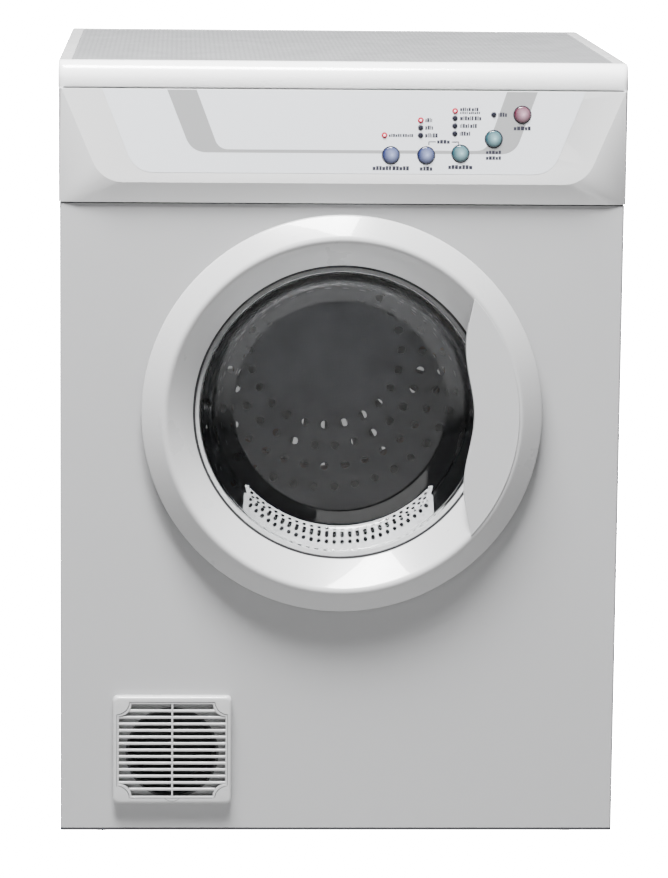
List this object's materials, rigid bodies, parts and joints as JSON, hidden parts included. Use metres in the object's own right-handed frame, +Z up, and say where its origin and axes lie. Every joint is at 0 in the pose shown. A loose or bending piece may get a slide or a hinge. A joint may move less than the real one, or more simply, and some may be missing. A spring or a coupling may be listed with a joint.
{
  "type": "clothes dryer",
  "caption": "Front-loading clothes dryer with a round glass porthole door, a sloping button panel, a worktop and a louvred vent.",
  "frame": {"origin": "on the floor, under the middle of the object's footprint (its bounding box)", "axes": "+X to the right of a person facing the door, +Y from the front to the back, +Z up"},
  "size_m": [0.6, 0.59, 0.85],
  "materials": {
    "white_enamel": "smooth white stove enamel",
    "galvanised": "galvanised sheet",
    "worktop_board": "fine embossed laminate",
    "worktop_trim": "satin moulded trim",
    "fascia_plastic": "satin moulded plastic",
    "white_plastic": "satin white moulded plastic",
    "handle_plastic": "satin pale grey plastic",
    "overlay_film": "thin printed film",
    "pink_plastic": "gloss pink plastic",
    "teal_plastic": "gloss teal plastic",
    "violet_plastic": "gloss blue-violet plastic",
    "lit_lamp": "lit red lens",
    "dark_lamp": "unlit dark lens",
    "circuit_board": "lacquered board",
    "duct_plastic": "moulded grey plastic",
    "inner_plastic": "moulded ivory plastic",
    "clear_plastic": "translucent moulded plastic",
    "felt": "dense wool felt",
    "black_rubber": "matt black rubber",
    "grey_rubber": "soft grey seal",
    "black_plastic": "matt black plastic",
    "bowl_glass": "clear pressed glass",
    "zinc": "zinc-plated steel",
    "drum_steel": "galvanised drum sheet",
    "steel": "ground steel",
    "sheathed_wire": "heat-browned steel sheath",
    "motor_iron": "dull motor housing",
    "bronze": "sintered bronze"
  },
  "bodies": {
    "cabinet": {"base_tray": "black_plastic", "levelling_feet": "black_plastic", "side_panel_left": "white_enamel", "side_panel_right": "white_enamel", "front_panel": "white_enamel", "rear_panel": "galvanised", "rear_air_cover": "galvanised", "top_braces": "galvanised", "worktop_board": "worktop_board", "worktop_trims": "worktop_trim", "control_fascia": "fascia_plastic", "fascia_overlay": "overlay_film", "lit_indicators": "lit_lamp", "unlit_indicators": "dark_lamp", "control_board": "circuit_board", "front_tunnel": "white_plastic", "drum_felt": "felt", "filter_housing": "duct_plastic", "suction_duct": "duct_plastic", "fan_housing": "duct_plastic", "exhaust_duct": "duct_plastic", "vent_grille": "white_plastic", "hinge_bracket": "zinc", "hinge_pin": "steel", "door_catch": "inner_plastic", "door_switch": "inner_plastic", "motor_body": "motor_iron", "motor_cradle": "galvanised", "drive_belt": "black_rubber", "heater_ring": "galvanised", "heater_element": "sheathed_wire", "bearing_housing": "zinc", "drum_bearing": "bronze", "cord_gland": "black_plastic", "cabinet_screws": "zinc", "idler_spring": "steel"},
    "door": {"door_ring": "white_plastic", "door_back_ring": "white_plastic", "door_glass": "bowl_glass", "glass_gasket": "black_rubber", "door_handle": "handle_plastic", "door_seal": "grey_rubber", "hinge_leaf": "zinc", "door_strike": "zinc"},
    "lint_filter": {"filter_guard": "clear_plastic", "filter_screen": "inner_plastic"},
    "drum": {"drum_shell": "drum_steel", "drum_rear_wall": "drum_steel", "drum_lifters": "white_plastic", "drum_shaft": "steel"},
    "motor_rotor": {"motor_shaft": "steel", "fan_impeller": "black_plastic"},
    "tension_arm": {"idler_arm": "galvanised"},
    "tension_pulley": {"idler_pulley": "inner_plastic"},
    "power_key": {"power_button": "pink_plastic"},
    "start_key": {"start_button": "teal_plastic"},
    "program_key": {"program_button": "teal_plastic"},
    "heat_key": {"heat_button": "violet_plastic"},
    "crease_key": {"crease_button": "violet_plastic"},
    "door_plunger": {"switch_plunger": "black_plastic"}
  },
  "joints": [
    {"name": "door_hinge", "type": "hinge", "parent": "cabinet", "child": "door", "pos_m": [-0.202, -0.278, 0.477], "axis": [0, 0, -1], "range_deg": [0, 150]},
    {"name": "filter_slide", "type": "slide", "parent": "cabinet", "child": "lint_filter", "axis": [0, 0, 1], "range_m": [0, 0.09]},
    {"name": "drum_spin", "type": "hinge", "parent": "cabinet", "child": "drum", "pos_m": [0.001, 0.034, 0.477], "axis": [0, 1, 0], "continuous": true},
    {"name": "motor_spin", "type": "hinge", "parent": "cabinet", "child": "motor_rotor", "pos_m": [0.095, -0.026, 0.118], "axis": [0, 1, 0], "continuous": true},
    {"name": "tension_arm_swing", "type": "hinge", "parent": "cabinet", "child": "tension_arm", "pos_m": [-0.01, 0.108, 0.06], "axis": [0, 1, 0], "range_deg": [0, 10], "stiffness_Nm_per_rad": 2, "springref_deg": -11.46},
    {"name": "tension_pulley_spin", "type": "hinge", "parent": "tension_arm", "child": "tension_pulley", "pos_m": [0.004, 0.094, 0.1716], "axis": [0, 1, 0], "continuous": true},
    {"name": "plunger_slide", "type": "slide", "parent": "cabinet", "child": "door_plunger", "axis": [0, -1, 0], "range_m": [0, 0.004]},
    {"name": "power_press", "type": "slide", "parent": "cabinet", "child": "power_key", "axis": [0, 1, 0], "range_m": [0, 0.002], "stiffness_N_per_m": 600, "springref_m": -0.001},
    {"name": "start_press", "type": "slide", "parent": "cabinet", "child": "start_key", "axis": [0, 1, 0], "range_m": [0, 0.002], "stiffness_N_per_m": 600, "springref_m": -0.001},
    {"name": "program_press", "type": "slide", "parent": "cabinet", "child": "program_key", "axis": [0, 1, 0], "range_m": [0, 0.002], "stiffness_N_per_m": 600, "springref_m": -0.001},
    {"name": "heat_press", "type": "slide", "parent": "cabinet", "child": "heat_key", "axis": [0, 1, 0], "range_m": [0, 0.002], "stiffness_N_per_m": 600, "springref_m": -0.001},
    {"name": "crease_press", "type": "slide", "parent": "cabinet", "child": "crease_key", "axis": [0, 1, 0], "range_m": [0, 0.002], "stiffness_N_per_m": 600, "springref_m": -0.001}
  ],
  "couplings": [
    {"joint": "motor_spin", "follows": "drum_spin", "ratio": 25.167},
    {"joint": "tension_pulley_spin", "follows": "drum_spin", "ratio": 12.468},
    {"joint": "plunger_slide", "follows": "door_hinge", "m_per_rad": 0.00152}
  ]
}
